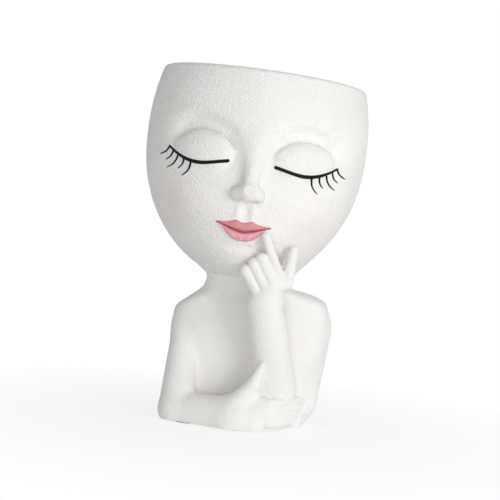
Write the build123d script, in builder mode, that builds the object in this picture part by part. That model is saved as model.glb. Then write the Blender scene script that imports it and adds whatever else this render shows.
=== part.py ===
from build123d import *
from math import asin, cos, pi, radians, sin, sqrt
import os

os.makedirs("parts", exist_ok=True)

# A head planter: a bald head, open at the top, on a small bust that rests its chin on one hand.
# Millimetres. The face looks along -Y, +X is the viewer's right, the floor is Z = 0.

# Stance: the bust is turned under the head, and the head leans towards the raised hand.
foot_height = 1.0
body_x = 2.0
body_y = 5.5
body_turn = -7.0
head_x = -4.0
head_y = 4.0
neck_height = 88.0
head_tilt = 3.0

# Head bowl, measured from its own upright axis and up from the neck seat.
head_height = 117.5
widest_height = 81.0
head_half_width = 65.5
head_front = 61.0
head_back = 61.0
rim_draw_in = 5.2
rim_round = 1.6
rim_bands = 3
neck_radius = 23.5
neck_shift = 5.0
neck_shift_fade = 12
jaw_start, jaw_end = 2.4, 1.16
chin_start, chin_end = 2.6, 2.1
nape_start, nape_end = 2.0, 1.5
jaw_sections = 6

# Planting cavity and its drain.
wall = 6.0
cavity_floor = 26.0
cavity_floor_radius = 24.0
cavity_start, cavity_end = 2.4, 1.16
drain_radius = 6.0

# Neck joint: a spigot on the bust seats in a socket under the head.
spigot_radius = 15.0
spigot_height = 9.0
joint_clearance = 0.15

# Face, placed by the distance from its middle line and the height above the neck seat.
eye_spread = 29.0
lid_rise = 12.7
lid_mean_rise = 9.0
lid_length = 27.0
lid_radius = 20.0
lid_bulge = 3.4
nose_root_height = 78.0
nose_root_radius = 3.4
nose_root_depth = 1.2
nose_tip_height = 49.5
nose_tip_radius = 4.8
nose_reach = 9.5
nostril_half_width = 9.2
nostril_radius = 4.8
nostril_height = 46.8
nostril_reach = 5.4

# Painted lips and lash lines.
mouth_half_width = 15.7
mouth_corner_height = 30.5
cupid_spread = 4.0
cupid_height = 33.0
cupid_dip_height = 32.0
lip_sweep = 9.5
lip_sweep_height = 31.2
lip_bottom_height = 21.0
lip_reach = 2.4
lip_end_room = 0.6
upper_lip_height = 30.0
upper_lip_roll = 4.2
lower_lip_height = 24.6
lower_lip_roll = 5.2
lash_inner = 12.6
lash_inner_height = 64.2
lash_low = 31.0
lash_low_height = 61.0
lash_outer = 48.6
lash_outer_height = 69.0
lash_line_radius = 1.0
lash_lift = 0.4
lash_root_radius = 0.85
lash_tip_radius = 0.55
lash_sides = 4
lash_starts = [0.6, 0.72, 0.82, 0.91, 0.97]
lash_outs = [4.4, 2.6, 5.2, 3.4, 4.8]
lash_drops = [7.4, 5.2, 6.8, 4.6, 4.0]

# Bust.
flank_sections = 7
slope_sections = 7
base_half_width = 39.0
base_front = 14.0
base_back = 36.0
shoulder_height = 66.0
shoulder_half_width = 47.5
shoulder_shift = 3.8
shoulder_tilt = 5.8
shoulder_front = 19.0
shoulder_back = 29.0
neck_base_height = 87.0
neck_turn_power = 6
base_squareness = 2.8
outline_points = 16

# Arms, in the bust's own turned axes. Right and left are the figure's own.
right_shoulder = (-34.0, -6.0, 52.0)
right_elbow = (-34.3, -24.0, 7.0)
right_arm_radii = [8.5, 10.7]
left_shoulder = (36.5, 5.0, 58.0)
left_elbow = (34.0, 5.0, 15.5)
left_arm_radii = [15.5, 13.0]
forearm_radius = 9.6
folded_wrist = (2.0, -30.8, 6.0)
folded_knuckles = (17.0, -29.5, 10.5)
folded_wrist_radius = 12.4
folded_palm_radius = 9.6
folded_finger_root = (17.5, -35.5)
folded_finger_bend = (28.0, -31.0)
folded_finger_tips = [(37.0, -2.0), (36.0, -2.0), (35.0, -2.0), (33.5, -3.0)]
folded_finger_heights = [17.8, 13.7, 9.6, 5.4]
folded_finger_radii = [2.9, 2.7, 2.6, 2.2]
folded_thumb_root = (9.5, -35.0, 20.0)
folded_thumb_tip = (17.2, -36.2, 39.2)
folded_thumb_radii = [4.6, 2.1]
raised_elbow = (24.0, -17.0, 23.0)
raised_elbow_radius = 13.0

# Raised hand, in the head's own axes, because it rests against the face.
raised_wrist = (17.5, -39.0, -13.0)
raised_wrist_radius = 10.3
raised_palm = (19.5, -43.5, -1.5)
raised_palm_radius = 7.6
index_root = (24.5, -45.0, 2.0)
index_tip = (13.4, -56.8, 25.6)
index_radius = 3.3
index_tip_radius = 2.4
middle_root = (21.5, -47.0, -1.0)
middle_bend = (12.8, -51.5, 13.0)
ring_root = (17.5, -46.5, -3.4)
ring_bend = (8.9, -50.5, 9.6)
little_root = (13.0, -45.0, -5.8)
little_bend = (5.0, -48.5, 5.2)
curl_drop = (-1.5, 8.0, -4.0)
curled_radii = [3.8, 3.4, 3.2, 2.8]
raised_thumb_root = (29.0, -43.0, 1.0)
raised_thumb_tip = (31.3, -46.5, 20.0)
raised_thumb_radii = [3.9, 2.7]

# Locating pegs of the two forearms, in sockets of the bust.
peg_radius = 4.0
peg_length = 7.0
peg_hold = 6.0

# Drain plug and foot pads.
plug_clearance = 0.15
plug_seat_gap = 0.2
plug_stem_length = 11.0
plug_taper = 0.6
plug_flange_radius = 10.0
plug_flange_height = 2.5
plug_grip_radius = 3.2
plug_grip_height = 9.0
plug_shoulder_drop = 1.0
pad_radius = 6.0
pad_places = [(-26.0, -25.5), (4.0, -31.0), (-27.0, 23.0), (27.0, 23.0)]

lean = radians(head_tilt)
head_plane = Plane(
    origin=(head_x, head_y, neck_height),
    x_dir=(cos(lean), 0, -sin(lean)),
    z_dir=(sin(lean), 0, cos(lean)),
)
body_plane = Plane(origin=(body_x, body_y, 0)).rotated((0, 0, body_turn))


def on_head(point):
    """A place given in the head's axes."""
    return head_plane.from_local_coords(Vector(*point))


def on_body(point):
    """A place given in the bust's axes."""
    return body_plane.from_local_coords(Vector(*point))


def girth(height, most, start, end):
    """Distance from the head's axis to its skin at a height, widest at widest_height."""
    if height < widest_height:
        fall = (widest_height - height) / widest_height
        return neck_radius + (most - neck_radius) * (1 - fall**start) ** (1 / end)
    rise = (height - widest_height) / (head_height - widest_height)
    return most - rim_draw_in * rise**2


def head_front_at(height):
    """Depth of the face in front of the head's axis at a height."""
    return girth(height, head_front, chin_start, chin_end)


def face_point(side, height, proud=0.0):
    """A place on the plain face or proud of it, in the head's axes."""
    half_width = girth(height, head_half_width, jaw_start, jaw_end)
    depth = head_front_at(height) * sqrt(1 - (side / half_width) ** 2)
    reach = 1 + proud / sqrt(side**2 + depth**2)
    return (side * reach, -depth * reach, height)


def oval(middle, half_width, front, back):
    """Points round a closed outline of two half ellipses that meet at the sides."""
    turns = [2 * pi * step / outline_points for step in range(outline_points)]
    depths = [back if turn < pi else front for turn in turns]
    return [(middle + half_width * cos(turn), depth * sin(turn)) for turn, depth in zip(turns, depths)]


def limb(start, finish, start_radius, finish_radius, mode=Mode.ADD):
    """A tapered limb with round ends, added to the part being built."""
    along = finish - start
    slant = asin((start_radius - finish_radius) / along.length)
    aside = along.cross(Vector(0.3, 0.2, 1)).normalized()
    plane = Plane(origin=start, x_dir=aside, z_dir=aside.cross(along).normalized())
    low, high = (slant - pi / 2) / 2, (slant + pi / 2) / 2

    def rim_of(radius, base, angle):
        return (radius * cos(angle), base + radius * sin(angle))

    with BuildSketch(plane) as profile:
        with BuildLine():
            bottom = (0, -start_radius)
            top = (0, along.length + finish_radius)
            ThreePointArc(bottom, rim_of(start_radius, 0, low), rim_of(start_radius, 0, slant))
            Line(rim_of(start_radius, 0, slant), rim_of(finish_radius, along.length, slant))
            ThreePointArc(
                rim_of(finish_radius, along.length, slant), rim_of(finish_radius, along.length, high), top
            )
            Line(top, bottom)
        make_face()
    revolve(profile.sketch, axis=Axis(start, along), mode=mode)


def head_levels(floor):
    """Heights of the bowl's sections from a floor to the rim, closer together at the bottom."""
    turns = [pi / 2 * step / jaw_sections for step in range(jaw_sections + 1)]
    levels = [floor + (widest_height - floor) * (1 - cos(turn)) for turn in turns]
    rim_base = head_height - rim_round
    return levels + [(widest_height + rim_base) / 2, rim_base]


def rim_levels():
    """Heights of the rounded rim's sections, and how far each is drawn in from the wall."""
    turns = [pi / 2 * step / rim_bands for step in range(rim_bands + 1)]
    return [(head_height - rim_round * (1 - sin(turn)), rim_round * (1 - cos(turn))) for turn in turns]


def head_section(level, inset=0.0):
    """Points of the head's outline at a height."""
    middle = neck_shift * max(0.0, 1 - level / widest_height) ** neck_shift_fade
    half_width = girth(level, head_half_width, jaw_start, jaw_end)
    back = girth(level, head_back, nape_start, nape_end)
    return oval(middle, *(half - inset for half in (half_width, head_front_at(level), back)))


def egg(centre, along, half_length, radius):
    """An egg-shaped bulge with its long axis along a direction, added to the part being built."""
    aside = along.cross(Vector(0.3, 0.2, 1)).normalized()
    plane = Plane(origin=centre, x_dir=aside, z_dir=aside.cross(along).normalized())
    with BuildSketch(plane) as profile:
        with BuildLine():
            EllipticalCenterArc((0, 0), radius, half_length, start_angle=-90, arc_size=180)
            Line((0, half_length), (0, -half_length))
        make_face()
    revolve(profile.sketch, axis=Axis(centre, along))


# The head's plain outer form.
with BuildPart() as head_egg:
    for level in head_levels(0):
        with BuildSketch(head_plane.offset(level)):
            with BuildLine():
                Spline(*head_section(level), periodic=True)
            make_face()
    loft()
    for level, inset in rim_levels():
        with BuildSketch(head_plane.offset(level)):
            with BuildLine():
                Spline(*head_section(level, inset), periodic=True)
            make_face()
    loft(ruled=True)

# The two closed eyelids, each above its lash line and sloped with it.
lash_mean_height = (lash_inner_height + lash_low_height + lash_outer_height) / 3
eye_height = max(lash_low_height + lid_rise, lash_mean_height + lid_mean_rise)
lid_slope = (lash_outer_height - lash_inner_height) / (lash_outer - lash_inner)
with BuildPart() as eyelids:
    for side in (-1, 1):
        lid_centre = on_head(face_point(side * eye_spread, eye_height, lid_bulge - lid_radius))
        lid_inner = on_head(face_point(side * (eye_spread - 1), eye_height - lid_slope))
        lid_outer = on_head(face_point(side * (eye_spread + 1), eye_height + lid_slope))
        egg(lid_centre, lid_outer - lid_inner, lid_length, lid_radius)

# The nose: a bridge that runs down to the tip, across a rounded bar for the nostril wings.
with BuildPart() as nose:
    nose_root = face_point(0, nose_root_height, -nose_root_depth - nose_root_radius)
    nose_tip = face_point(0, nose_tip_height, nose_reach - nose_tip_radius)
    limb(on_head(nose_root), on_head(nose_tip), nose_root_radius, nose_tip_radius)
    nostril_middle = on_head(face_point(0, nostril_height, nostril_reach - nostril_radius))
    egg(nostril_middle, head_plane.x_dir, nostril_half_width, nostril_radius)


def cavity_half(height, most):
    """Half-size of the planting cavity at a height, a wall inside the head's own."""
    open_half = most - wall
    if height < widest_height:
        fall = (widest_height - height) / (widest_height - cavity_floor)
        spread = (1 - fall**cavity_start) ** (1 / cavity_end)
        return cavity_floor_radius + (open_half - cavity_floor_radius) * spread
    return open_half - rim_draw_in * ((height - widest_height) / (head_height - widest_height)) ** 2


def cavity_section(level, flare=0.0):
    """Points of the planting cavity's outline at a height."""
    return oval(0, *(cavity_half(level, most) + flare for most in (head_half_width, head_front, head_back)))


# The head bowl: the form hollowed for soil, with a drain down through the neck socket.
with BuildPart() as head_bowl:
    add(head_egg.part)
    add(eyelids.part)
    add(nose.part)
    for level in head_levels(cavity_floor):
        with BuildSketch(head_plane.offset(level)):
            with BuildLine():
                Spline(*cavity_section(level), periodic=True)
            make_face()
    loft(mode=Mode.SUBTRACT)
    for level, flare in rim_levels():
        with BuildSketch(head_plane.offset(level)):
            with BuildLine():
                Spline(*cavity_section(level, flare), periodic=True)
            make_face()
    loft(ruled=True, mode=Mode.SUBTRACT)
    with BuildSketch(head_plane):
        with Locations((neck_shift, 0)):
            Circle(spigot_radius + joint_clearance)
    extrude(amount=spigot_height + joint_clearance, mode=Mode.SUBTRACT)
    with BuildSketch(head_plane):
        with Locations((neck_shift, 0)):
            Circle(drain_radius)
    extrude(amount=cavity_floor + wall, mode=Mode.SUBTRACT)
head_bowl.part.label = "head_bowl"
export_step(head_bowl.part, "parts/head_bowl.step")


def ease(share):
    """A share from 0 to 1 that starts and ends gently."""
    share = min(1.0, max(0.0, share))
    return share * share * (3 - 2 * share)


def bust_section(height):
    """Plane and points of the torso at a height: a rounded square that closes in to the round neck."""
    up = ease(height / shoulder_height)
    slope = ease((height - shoulder_height) / (neck_base_height - shoulder_height))
    half_width = base_half_width + (shoulder_half_width - base_half_width) * up
    front = base_front + (shoulder_front - base_front) * up
    back = base_back + (shoulder_back - base_back) * up
    half_width, front, back = (most + (neck_radius - most) * slope for most in (half_width, front, back))
    power = 2 / (base_squareness + (2 - base_squareness) * slope)
    neck_middle = body_plane.to_local_coords(neck_centre)
    middle_x = shoulder_shift * up * (1 - slope) + neck_middle.X * slope
    middle_y = neck_middle.Y * slope
    outline = []
    for step in range(outline_points):
        turn = 2 * pi * step / outline_points
        across = half_width * abs(cos(turn)) ** power * (1 if cos(turn) >= 0 else -1)
        depth = (back if sin(turn) > 0 else -front) * abs(sin(turn)) ** power
        outline.append((middle_x + across, middle_y + depth))
    tilt = -shoulder_tilt * up + (head_tilt + shoulder_tilt) * slope**neck_turn_power
    return body_plane.offset(height).rotated((0, tilt, 0)), outline


def torso_levels():
    """Heights of the torso's sections, closer together where the shoulders slope to the neck."""
    rise = (shoulder_height - foot_height) / flank_sections
    climb = (neck_base_height - shoulder_height) / slope_sections
    flank = [foot_height + rise * step for step in range(flank_sections)]
    return flank + [shoulder_height + climb * step for step in range(slope_sections)]


def peg(start, finish, radius, mode=Mode.ADD):
    """A round peg between two places, added to the part being built."""
    along = finish - start
    with BuildSketch(Plane(origin=start, z_dir=along)) as section:
        Circle(radius)
    extrude(section.sketch, amount=along.length, mode=mode)


# The bust's solid form: torso, neck and both upper arms.
neck_centre = on_head((neck_shift, 0, 0))
with BuildPart() as bust_form:
    for level in torso_levels():
        section_plane, section_outline = bust_section(level)
        with BuildSketch(section_plane):
            with BuildLine():
                Spline(*section_outline, periodic=True)
            make_face()
    with BuildSketch(head_plane):
        with BuildLine():
            Spline(*oval(neck_shift, neck_radius, neck_radius, neck_radius), periodic=True)
        make_face()
    loft()
    limb(on_body(right_shoulder), on_body(right_elbow), *right_arm_radii)
    limb(on_body(left_shoulder), on_body(left_elbow), *left_arm_radii)
    split(bisect_by=Plane.XY.offset(foot_height), keep=Keep.TOP)

# Pegs run from inside each forearm into the bust.
folded_line = (on_body(folded_wrist) - on_body(right_elbow)).normalized()
folded_peg_start = on_body(right_elbow) + folded_line * (right_arm_radii[1] + peg_hold)
folded_peg_end = on_body(right_elbow) + folded_line * (right_arm_radii[1] - peg_length)
raised_peg_start = on_body(raised_elbow)
raised_peg_end = raised_peg_start + body_plane.y_dir * (raised_elbow_radius + peg_length)

# The bust: its form with the spigot that carries the head, the drain and the forearms' sockets.
with BuildPart() as bust:
    add(bust_form.part)
    with BuildSketch(head_plane):
        with Locations((neck_shift, 0)):
            Circle(spigot_radius)
    extrude(amount=spigot_height)
    with BuildSketch(Plane.XY.offset(foot_height)):
        with Locations((neck_centre.X, neck_centre.Y)):
            Circle(drain_radius)
    extrude(amount=neck_height + 2 * spigot_height, mode=Mode.SUBTRACT)
    for start, finish in ((folded_peg_start, folded_peg_end), (raised_peg_start, raised_peg_end)):
        deeper = finish + (finish - start).normalized() * joint_clearance
        peg(start, deeper, peg_radius + joint_clearance, mode=Mode.SUBTRACT)
bust.part.label = "bust"
export_step(bust.part, "parts/bust.step")

# The raised forearm and hand: elbow on the base, index finger at the lips, three fingers curled.
with BuildPart() as raised_forearm:
    limb(on_body(raised_elbow), on_head(raised_wrist), raised_elbow_radius, raised_wrist_radius)
    limb(on_head(raised_wrist), on_head(raised_palm), raised_palm_radius, raised_palm_radius)
    limb(on_head(index_root), on_head(index_tip), index_radius, index_tip_radius)
    for root, bend in ((middle_root, middle_bend), (ring_root, ring_bend), (little_root, little_bend)):
        fold = tuple(place + drop for place, drop in zip(bend, curl_drop))
        limb(on_head(root), on_head(bend), *curled_radii[:2])
        limb(on_head(bend), on_head(fold), *curled_radii[2:])
    limb(on_head(raised_thumb_root), on_head(raised_thumb_tip), *raised_thumb_radii)
    add(bust_form.part, mode=Mode.SUBTRACT)
    add(head_egg.part, mode=Mode.SUBTRACT)
    peg(raised_peg_start, raised_peg_end, peg_radius)
raised_forearm.part.label = "raised_forearm"
export_step(raised_forearm.part, "parts/raised_forearm.step")

# The folded forearm and hand along the front of the base, holding the other elbow.
with BuildPart() as folded_forearm:
    limb(on_body(right_elbow), on_body(folded_wrist), forearm_radius, folded_wrist_radius)
    limb(on_body(folded_wrist), on_body(folded_knuckles), folded_palm_radius, folded_palm_radius)
    for finger_tip, height in zip(folded_finger_tips, folded_finger_heights):
        root = (*folded_finger_root, height)
        bend = (*folded_finger_bend, height)
        tip = (*finger_tip, height)
        limb(on_body(root), on_body(bend), *folded_finger_radii[:2])
        limb(on_body(bend), on_body(tip), *folded_finger_radii[2:])
    limb(on_body(folded_thumb_root), on_body(folded_thumb_tip), *folded_thumb_radii)
    split(bisect_by=Plane.XY.offset(foot_height), keep=Keep.TOP)
    add(bust_form.part, mode=Mode.SUBTRACT)
    peg(folded_peg_start, folded_peg_end, peg_radius)
    add(raised_forearm.part, mode=Mode.SUBTRACT)
folded_forearm.part.label = "folded_forearm"
export_step(folded_forearm.part, "parts/folded_forearm.step")

# The painted lips: two soft rolls, trimmed to a bowed outline and seated on the face.
face_plane = Plane(origin=head_plane.origin, x_dir=head_plane.x_dir, z_dir=-head_plane.y_dir)
with BuildPart() as lips:
    for height, roll in ((upper_lip_height, upper_lip_roll), (lower_lip_height, lower_lip_roll)):
        centre = on_head(face_point(0, height, lip_reach - roll))
        egg(centre, head_plane.x_dir, mouth_half_width + lip_end_room, roll)
    with BuildSketch(face_plane):
        with BuildLine():
            left_corner = (-mouth_half_width, mouth_corner_height)
            right_corner = (mouth_half_width, mouth_corner_height)
            ThreePointArc(left_corner, (0, lip_bottom_height), right_corner)
            bow = [(cupid_spread, cupid_height), (0, cupid_dip_height), (-cupid_spread, cupid_height)]
            ThreePointArc(right_corner, (lip_sweep, lip_sweep_height), bow[0])
            ThreePointArc(*bow)
            ThreePointArc(bow[2], (-lip_sweep, lip_sweep_height), left_corner)
        make_face()
    extrude(amount=2 * head_front, dir=face_plane.z_dir, mode=Mode.INTERSECT)
    add(head_egg.part, mode=Mode.SUBTRACT)
lips.part.label = "lips"
export_step(lips.part, "parts/lips.step")

# The painted lash lines: an arc along each closed lid with five lashes at its outer end.
for name, side in (("lash_line_right", -1), ("lash_line_left", 1)):
    with BuildPart() as lash_line:
        with BuildLine() as lid_edge:
            ThreePointArc(
                on_head(face_point(side * lash_inner, lash_inner_height, lash_lift)),
                on_head(face_point(side * lash_low, lash_low_height, lash_lift)),
                on_head(face_point(side * lash_outer, lash_outer_height, lash_lift)),
            )
        with BuildSketch(Plane(origin=lid_edge.line @ 0, z_dir=lid_edge.line % 0)):
            RegularPolygon(lash_line_radius, lash_sides)
        sweep(path=lid_edge.line)
        for start, out, drop in zip(lash_starts, lash_outs, lash_drops):
            root_place = lid_edge.line @ start
            root = head_plane.to_local_coords(root_place)
            tip_place = on_head(face_point(root.X + side * out, root.Z - drop, lash_lift))
            for place, radius in ((root_place, lash_root_radius), (tip_place, lash_tip_radius)):
                with BuildSketch(Plane(origin=place, z_dir=tip_place - root_place)):
                    RegularPolygon(radius, lash_sides)
            loft()
        add(head_egg.part, mode=Mode.SUBTRACT)
        add(eyelids.part, mode=Mode.SUBTRACT)
    lash_line.part.label = name
    export_step(lash_line.part, f"parts/{name}.step")

# The drain plug: a tapered stem, a flange on the cavity floor and a grip to pull it by.
plug_seat = on_head((neck_shift, 0, cavity_floor))
plug_plane = Plane(origin=plug_seat, x_dir=head_plane.x_dir, z_dir=-head_plane.y_dir)
with BuildPart() as drain_plug:
    with BuildSketch(plug_plane):
        with BuildLine():
            stem_radius = drain_radius - plug_clearance
            flange_top = plug_seat_gap + plug_flange_height
            Polyline(
                (0, -plug_stem_length),
                (stem_radius - plug_taper, -plug_stem_length),
                (stem_radius, plug_seat_gap),
                (plug_flange_radius, plug_seat_gap),
                (plug_flange_radius, flange_top),
                (plug_grip_radius, flange_top + plug_shoulder_drop),
                (plug_grip_radius, flange_top + plug_grip_height),
                (0, flange_top + plug_grip_height),
                close=True,
            )
        make_face()
    revolve(axis=Axis(plug_plane.origin, head_plane.z_dir))
drain_plug.part.label = "drain_plug"
export_step(drain_plug.part, "parts/drain_plug.step")

# Four thin pads under the casting, which let the drain run.
with BuildPart() as foot_pads:
    with BuildSketch(body_plane):
        with Locations(*pad_places):
            Circle(pad_radius)
    extrude(amount=foot_height)
foot_pads.part.label = "foot_pads"
export_step(foot_pads.part, "parts/foot_pads.step")
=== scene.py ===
"""Looks of the head planter: cast skin, painted lips and lashes, and the studio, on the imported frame."""
from math import cos, pi, radians, sin, sqrt

import bpy
import numpy as np
from mathutils import Matrix, Vector


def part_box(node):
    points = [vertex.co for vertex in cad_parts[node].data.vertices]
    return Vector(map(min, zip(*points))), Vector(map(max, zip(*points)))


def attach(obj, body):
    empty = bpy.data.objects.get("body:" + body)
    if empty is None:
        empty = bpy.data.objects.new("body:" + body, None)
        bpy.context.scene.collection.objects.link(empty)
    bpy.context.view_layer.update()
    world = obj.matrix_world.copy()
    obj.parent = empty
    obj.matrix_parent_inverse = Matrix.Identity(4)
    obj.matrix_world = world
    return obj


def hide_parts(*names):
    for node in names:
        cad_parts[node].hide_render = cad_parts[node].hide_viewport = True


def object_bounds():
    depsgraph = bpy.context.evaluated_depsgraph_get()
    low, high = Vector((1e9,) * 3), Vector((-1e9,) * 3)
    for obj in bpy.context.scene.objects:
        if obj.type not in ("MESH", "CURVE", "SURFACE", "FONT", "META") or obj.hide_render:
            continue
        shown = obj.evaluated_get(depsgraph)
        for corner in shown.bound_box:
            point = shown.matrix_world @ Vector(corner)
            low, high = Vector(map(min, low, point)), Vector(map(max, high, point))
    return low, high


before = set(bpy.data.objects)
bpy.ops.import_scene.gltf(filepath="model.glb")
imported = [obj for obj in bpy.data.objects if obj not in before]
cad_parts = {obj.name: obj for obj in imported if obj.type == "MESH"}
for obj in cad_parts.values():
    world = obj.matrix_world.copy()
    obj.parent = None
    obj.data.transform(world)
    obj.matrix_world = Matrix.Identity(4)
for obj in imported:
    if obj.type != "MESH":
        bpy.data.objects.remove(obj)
cad_box = [list(corner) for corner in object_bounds()]

# Millimetres from here on, as in the part's source; MM turns them into the frame's metres.
# SPARE is the room sampled round a CAD node's box, and BLOCK the cells along a coarse block.
MM = 0.001
CELL = 0.75
FINE_CELL = 0.5
BLOCK = 4
SPARE = 6.0

# Stance of the head and of the bust under it.
FOOT_HEIGHT = 1.0
BODY_X, BODY_Y, BODY_TURN = 2.0, 5.5, -7.0
HEAD_X, HEAD_Y, NECK_HEIGHT, HEAD_TILT = -4.0, 4.0, 88.0, 3.0

# Head bowl, in its own axes: across, back, and up from the neck seat.
HEAD_HEIGHT, WIDEST = 117.5, 81.0
HEAD_HALF, HEAD_FRONT, HEAD_BACK = 65.5, 61.0, 61.0
RIM_DRAW_IN, RIM_ROUND = 5.2, 2.4
NECK_RADIUS, NECK_SHIFT, NECK_FADE, NECK_FLARE = 23.5, 5.0, 12, 1.2
JAW, CHIN, NAPE, CAVITY = (2.4, 1.16), (2.6, 2.1), (2.0, 1.5), (2.4, 1.16)
WALL, CAVITY_FLOOR, CAVITY_FLOOR_RADIUS, DRAIN_RADIUS = 6.0, 26.0, 24.0, 6.0
NECK_BLEND, CHIN_BLEND, NECK_ROOT = 6.0, 10.0, 15.0

# Face, by distance from its middle line and height above the neck seat.
EYE_SPREAD, EYE_HEIGHT, LID_SLOPE = 30.0, 69.6, 5.0
LID_RADII, LID_SINK, LID_CREASE = (18.8, 11.2, 7.0), 3.9, (0.5, 1.0, 1.3)
BROW_MIDDLE, BROW_RADII, BROW_DEPTH = (31.0, 76.0), (24.5, 14.5), 4.0
BROW_EDGE, BROW_FOOT, BROW_OUTER = (1.1, 0.5, 0.5), (57.0, 24.0), (33.0, 17.0)
LID_INNER_SINK, LID_SOFT_END = 1.4, 2.5
NOSE_ROOT_HEIGHT, NOSE_TIP_HEIGHT, NOSE_REACH = 80.0, 48.8, 9.6
NOSE_BRIDGE_RADII, NOSE_TIP_RADII = (4.6, 4.2), (5.6, 4.8, 4.8)
NOSE_WINGS = (((-5.6, 47.4, 0.9), (4.0, 4.8, 4.0)), ((6.6, 47.0, 0.9), (3.0, 4.5, 3.7)))
NOSE_BASE, NOSE_BASE_RADII = (0.0, 45.6, 4.6), (2.4, 3.4, 2.4)
NOSTRIL_SIDE, NOSTRIL_HEIGHT, NOSTRIL_DEPTH, NOSTRIL_RADII = 3.8, 43.0, 4.6, (1.4, 2.0, 1.1)
MOUTH_HALF = 15.7
BLUSH_PLACES, BLUSH_RADIUS, BLUSH_SHARE = ((-39.0, 37.0), (35.0, 35.5)), 10.0, 0.14

# Low relief of the face: how proud each form stands, where its middle is and how far it spreads.
RELIEF = {
    "inner eye": (-2.4, (12.5, 67.0), (5.0, 9.5)),
    "cheek": (0.8, (33.0, 43.0), (15.0, 13.0)),
    "philtrum": (-1.0, (0.0, 38.0), (2.2, 5.0)),
    "philtrum ridge": (0.8, (4.4, 37.5), (1.8, 5.5)),
    "lip mound": (1.3, (0.0, 27.5), (12.0, 7.0)),
    "chin dimple": (-0.9, (0.0, 17.8), (8.0, 2.6)),
    "chin": (1.3, (0.0, 10.0), (13.0, 8.0)),
}

# Bust.
BASE_HALF, BASE_FRONT, BASE_BACK = 39.0, 14.0, 36.0
SHOULDER_HEIGHT, SHOULDER_HALF, SHOULDER_SHIFT, SHOULDER_TILT = 66.0, 47.5, 3.8, 5.8
SHOULDER_FRONT, SHOULDER_BACK = 19.0, 29.0
SLOPE_START, NECK_BASE, NECK_TURN_POWER, SQUARENESS = 69.0, 85.0, 6, 2.8
SHOULDER_REACH, SHOULDER_SLANT, SHOULDER_ROUND = (78.5, 85.8), (0.766, 0.643), 10.0

# Arms in the bust's axes, and the raised hand in the head's. Right and left are the figure's own.
RIGHT_SHOULDER, RIGHT_ELBOW, RIGHT_ARM_RADII = (-34.0, -6.0, 52.0), (-33.0, -24.0, 7.0), (8.5, 10.3)
LEFT_SHOULDER, LEFT_ELBOW, LEFT_ARM_RADII = (36.5, 5.0, 58.0), (34.0, 5.0, 15.5), (15.5, 13.0)
FOREARM_RADIUS = 9.6
FOLDED_WRIST, FOLDED_WRIST_RADIUS = (2.0, -30.8, 6.0), 12.4
FOLDED_BACK, FOLDED_BACK_RADII = ((2.0, -30.8, 12.0), (19.0, -30.0, 12.4)), (8.2, 7.8)
FOLDED_HEEL = ((0.0, -31.5, 5.0), (12.5, -31.2, 5.0), (22.5, -25.0, 5.0), (28.5, -6.0, 5.0))
FOLDED_HEEL_RADII = (10.8, 9.2, 7.5, 7.5)
FOLDED_FINGER = ((12.0, -32.5), (22.6, -33.8), (28.0, -28.2), (32.2, -19.5))
FOLDED_FINGER_TIPS = ((39.0, -7.0), (38.2, -8.5), (36.6, -11.0), (34.6, -14.0))
FOLDED_FINGER_HEIGHTS, FOLDED_FINGER_RADII = (17.3, 13.4, 9.4, 5.4), (2.8, 2.7, 2.6, 2.5, 2.2)
LEFT_ELBOW_FOOT, LEFT_ELBOW_FOOT_RADIUS = (29.0, 8.0, 4.0), 11.0
FOLDED_THUMB = ((4.0, -34.0, 16.5), (13.0, -36.0, 27.0), (17.4, -36.6, 38.6))
FOLDED_THUMB_RADII = (5.2, 3.9, 2.0)
FOLDED_WEB, FOLDED_WEB_RADII = ((10.0, -31.0, 20.0), (16.5, -32.5, 35.0)), (6.0, 2.6)
RAISED_ELBOW, RAISED_ELBOW_RADIUS = (24.0, -17.0, 24.0), 12.2
RAISED_WRIST, RAISED_WRIST_RADIUS = (17.5, -39.0, -13.0), 10.3
RAISED_PALM, RAISED_PALM_RADIUS = (19.5, -43.5, -1.5), 7.6
INDEX, INDEX_RADII = ((24.5, -45.0, 2.0), (13.4, -56.8, 25.6)), (3.3, 2.4)
CURLED = (
    ((21.5, -47.0, -1.0), (12.8, -51.5, 13.0)),
    ((17.5, -46.5, -3.4), (8.9, -50.5, 9.6)),
    ((13.0, -45.0, -5.8), (5.0, -48.5, 5.2)),
)
CURL_DROP, CURLED_RADII = (-1.5, 8.0, -4.0), (3.8, 3.4, 3.2, 2.8)
RAISED_THUMB, RAISED_THUMB_RADII = ((28.4, -43.0, 1.0), (29.9, -46.8, 20.0)), (3.9, 2.7)

# Painted lashes: the lid line from its inner end, and each lash from root to tip.
LASH_LINE = ((12.4, 64.4), (22.0, 62.3), (31.5, 61.4), (41.0, 64.2), (48.6, 69.2))
LASH_LINE_WIDTHS = (2.2, 2.0, 2.3, 1.9, 1.1)
LASH_ROOTS = ((34.0, 61.4), (38.3, 62.4), (42.0, 64.2), (45.2, 66.4), (47.8, 68.6))
LASH_TIPS = ((38.6, 52.8), (41.4, 56.6), (48.4, 56.4), (49.6, 60.9), (53.6, 63.9))
LASH_WIDTH, LASH_SWEEP = 1.45, 0.9

# Studio, in metres and watts: each lamp's place, size and power, and the surround's levels.
KEY_LAMP, FILL_LAMP = ((0.52, -0.7, 0.24), 0.3, 2.5), ((-0.1, -0.9, 0.12), 0.22, 1.15)
LAMP_AIM, FLOOR_HALF, FLOOR_FADE, FLOOR_GLOW = (0, 0, 0.12), 6.0, (0.06, 0.24, 0.8, 1.0), 0.1
TENT_LEAN, TENT_LEVELS = -0.4, (("From Min", -0.4), ("From Max", 0.95), ("To Min", 0.98), ("To Max", 0.28))


def axes(origin, across, up):
    """Origin and rows of a right-handed set of axes."""
    across, up = np.array(across, float), np.array(up, float)
    return np.array(origin, float), np.array([across, np.cross(up, across), up])


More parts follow.
